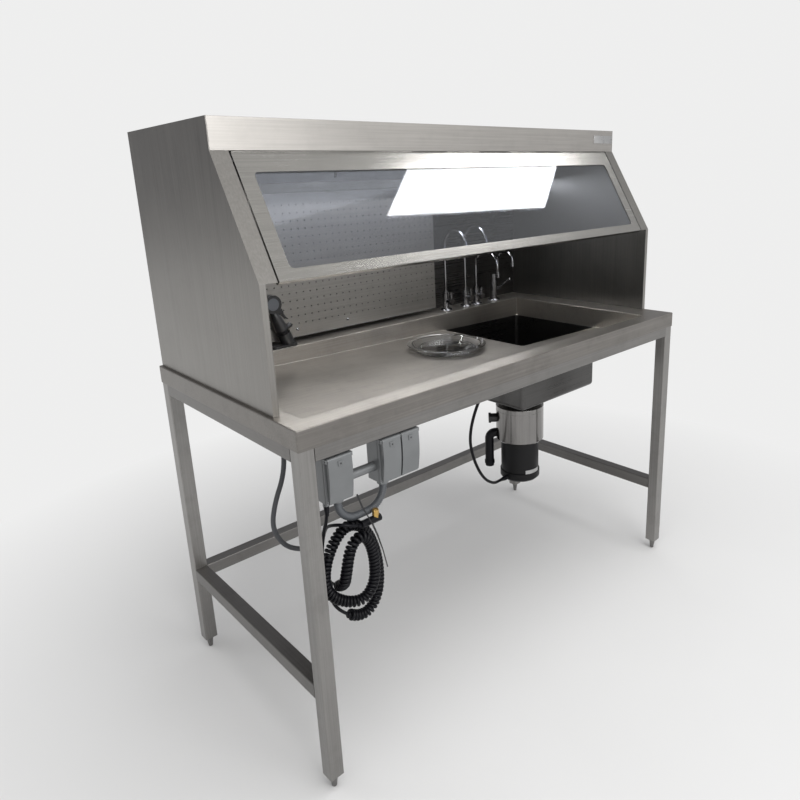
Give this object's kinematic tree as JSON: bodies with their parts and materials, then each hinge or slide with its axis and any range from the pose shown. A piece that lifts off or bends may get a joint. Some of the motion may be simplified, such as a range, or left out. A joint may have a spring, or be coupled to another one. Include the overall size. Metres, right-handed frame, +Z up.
{
  "type": "downdraft grossing station",
  "caption": "Steel downdraft bench with recessed worktop, sink and disposer, three-sided hood with perforated plenum, lift-up visor, taps, hand spray and outlets.",
  "frame": {"origin": "on the floor under the middle of the worktop", "axes": "+Z up, -Y towards the front, +X to the right as seen from the front"},
  "size_m": [1.524, 0.75, 1.6],
  "materials": {
    "steel": "satin stainless sheet and tube",
    "hood_steel": "satin stainless sheet with a fine vertical grain",
    "plenum_steel": "satin stainless perforated sheet",
    "bowl_steel": "satin stainless, deep drawn",
    "clear_panel": "clear panel, lightly scratched",
    "clear_dish": "clear moulded tray",
    "chrome": "polished chrome",
    "lens": "opal lens strip",
    "black_plastic": "black moulded plastic",
    "grey_plastic": "grey spray face",
    "black_paint": "semi-gloss black enamel",
    "cast_aluminium": "die-cast housings with a grey satin coat",
    "grey_conduit": "grey jacketed flexible conduit",
    "black_rubber": "black cable jacket",
    "grey_rubber": "dark grey cable jacket",
    "foot_steel": "turned stainless foot"
  },
  "bodies": {
    "station": {"leg_front_left": "steel", "leg_front_right": "steel", "leg_rear_left": "steel", "leg_rear_right": "steel", "apron_front": "steel", "apron_rear": "steel", "apron_left": "steel", "apron_right": "steel", "stretcher_left": "steel", "stretcher_right": "steel", "stretcher_rear": "steel", "worktop": "steel", "sink_bowl": "bowl_steel", "hood_side_left": "hood_steel", "hood_side_right": "hood_steel", "hood_roof": "hood_steel", "hood_back": "hood_steel", "light_housing": "hood_steel", "visor_hinge": "hood_steel", "plenum_panel": "plenum_steel", "light_lens": "lens", "spray_handle": "black_plastic", "spray_holder": "black_plastic", "curly_connector": "black_plastic", "tap_bodies": "chrome", "mixer_body": "chrome", "spray_face": "grey_plastic", "disposer_body": "bowl_steel", "disposer_mount": "bowl_steel", "disposer_motor": "black_paint", "disposer_elbow": "black_rubber", "disposer_cable": "black_rubber", "curly_lead": "black_rubber", "curly_coil": "black_rubber", "curly_tail": "black_rubber", "supply_cable": "grey_rubber", "outlet_boxes": "cast_aluminium", "outlet_covers": "cast_aluminium", "flex_conduit": "grey_conduit", "specimen_dish": "clear_dish"},
    "visor": {"visor_frame": "hood_steel", "visor_glass": "clear_panel"},
    "light_rocker": {"light_switch": "black_plastic"},
    "spout_left": {"tap_spout_left": "chrome"},
    "spout_middle": {"tap_spout_middle": "chrome"},
    "spout_right": {"tap_spout_right": "chrome"},
    "spout_mixer": {"mixer_spout": "chrome"},
    "handle_left": {"tap_handle_left": "chrome"},
    "handle_middle": {"tap_handle_middle": "chrome"},
    "handle_right": {"tap_handle_right": "chrome"},
    "lever_mixer": {"mixer_lever": "chrome"},
    "lever_spray": {"spray_lever": "black_plastic"},
    "flap_left": {"lid_left": "cast_aluminium"},
    "flap_right_a": {"lid_right_a": "cast_aluminium"},
    "flap_right_b": {"lid_right_b": "cast_aluminium"},
    "grinding_plate": {"disposer_turntable": "bowl_steel"},
    "foot_fl": {"foot_front_left": "foot_steel"},
    "foot_fr": {"foot_front_right": "foot_steel"},
    "foot_rl": {"foot_rear_left": "foot_steel"},
    "foot_rr": {"foot_rear_right": "foot_steel"}
  },
  "joints": [
    {"name": "visor_lift", "type": "hinge", "parent": "station", "child": "visor", "pos_m": [0, -0.10646, 1.4923], "axis": [-1, 0, 0], "range_deg": [0, 75]},
    {"name": "light_rocker_tilt", "type": "hinge", "parent": "station", "child": "light_rocker", "pos_m": [-0.236, 0.185, 1.443], "axis": [-1, 0, 0], "range_deg": [0, 16]},
    {"name": "spout_left_swivel", "type": "hinge", "parent": "station", "child": "spout_left", "pos_m": [0.305, 0.315, 1], "axis": [0, 0, 1], "range_deg": [-45, 20]},
    {"name": "spout_middle_swivel", "type": "hinge", "parent": "station", "child": "spout_middle", "pos_m": [0.41, 0.315, 1], "axis": [0, 0, 1], "range_deg": [-20, 45]},
    {"name": "spout_right_swivel", "type": "hinge", "parent": "station", "child": "spout_right", "pos_m": [0.47, 0.315, 1], "axis": [0, 0, 1], "range_deg": [-45, 25]},
    {"name": "spout_mixer_swivel", "type": "hinge", "parent": "station", "child": "spout_mixer", "pos_m": [0.598, 0.315, 1.041], "axis": [0, 0, 1], "range_deg": [-25, 45]},
    {"name": "handle_left_turn", "type": "hinge", "parent": "station", "child": "handle_left", "pos_m": [0.305, 0.285, 0.97], "axis": [0, 1, 0], "range_deg": [0, 90]},
    {"name": "handle_middle_turn", "type": "hinge", "parent": "station", "child": "handle_middle", "pos_m": [0.41, 0.285, 0.97], "axis": [0, 1, 0], "range_deg": [0, 90]},
    {"name": "handle_right_turn", "type": "hinge", "parent": "station", "child": "handle_right", "pos_m": [0.47, 0.285, 0.97], "axis": [0, 1, 0], "range_deg": [0, 90]},
    {"name": "lever_mixer_lift", "type": "hinge", "parent": "station", "child": "lever_mixer", "pos_m": [0.596, 0.315, 0.982], "axis": [0, -1, 0], "range_deg": [0, 25]},
    {"name": "lever_spray_squeeze", "type": "hinge", "parent": "station", "child": "lever_spray", "pos_m": [-0.41048, 0.295, 1.04771], "axis": [0, 1, 0], "range_deg": [0, 8], "stiffness_Nm_per_rad": 0.4},
    {"name": "flap_left_lift", "type": "hinge", "parent": "station", "child": "flap_left", "pos_m": [-0.662, -0.367, 0.8449], "axis": [-1, 0, 0], "range_deg": [0, 100]},
    {"name": "flap_right_a_lift", "type": "hinge", "parent": "station", "child": "flap_right_a", "pos_m": [-0.517, -0.367, 0.8449], "axis": [-1, 0, 0], "range_deg": [0, 100]},
    {"name": "flap_right_b_lift", "type": "hinge", "parent": "station", "child": "flap_right_b", "pos_m": [-0.465, -0.367, 0.8449], "axis": [-1, 0, 0], "range_deg": [0, 100]},
    {"name": "grinding_plate_spin", "type": "hinge", "parent": "station", "child": "grinding_plate", "pos_m": [0.4495, 0.0725, 0.476], "axis": [0, 0, 1], "continuous": true},
    {"name": "foot_fl_screw", "type": "hinge", "parent": "station", "child": "foot_fl", "pos_m": [-0.74065, -0.35365, 0], "axis": [0, 0, 1], "continuous": true},
    {"name": "foot_fr_screw", "type": "hinge", "parent": "station", "child": "foot_fr", "pos_m": [0.74065, -0.35365, 0], "axis": [0, 0, 1], "continuous": true},
    {"name": "foot_rl_screw", "type": "hinge", "parent": "station", "child": "foot_rl", "pos_m": [-0.74065, 0.35365, 0], "axis": [0, 0, 1], "continuous": true},
    {"name": "foot_rr_screw", "type": "hinge", "parent": "station", "child": "foot_rr", "pos_m": [0.74065, 0.35365, 0], "axis": [0, 0, 1], "continuous": true}
  ]
}
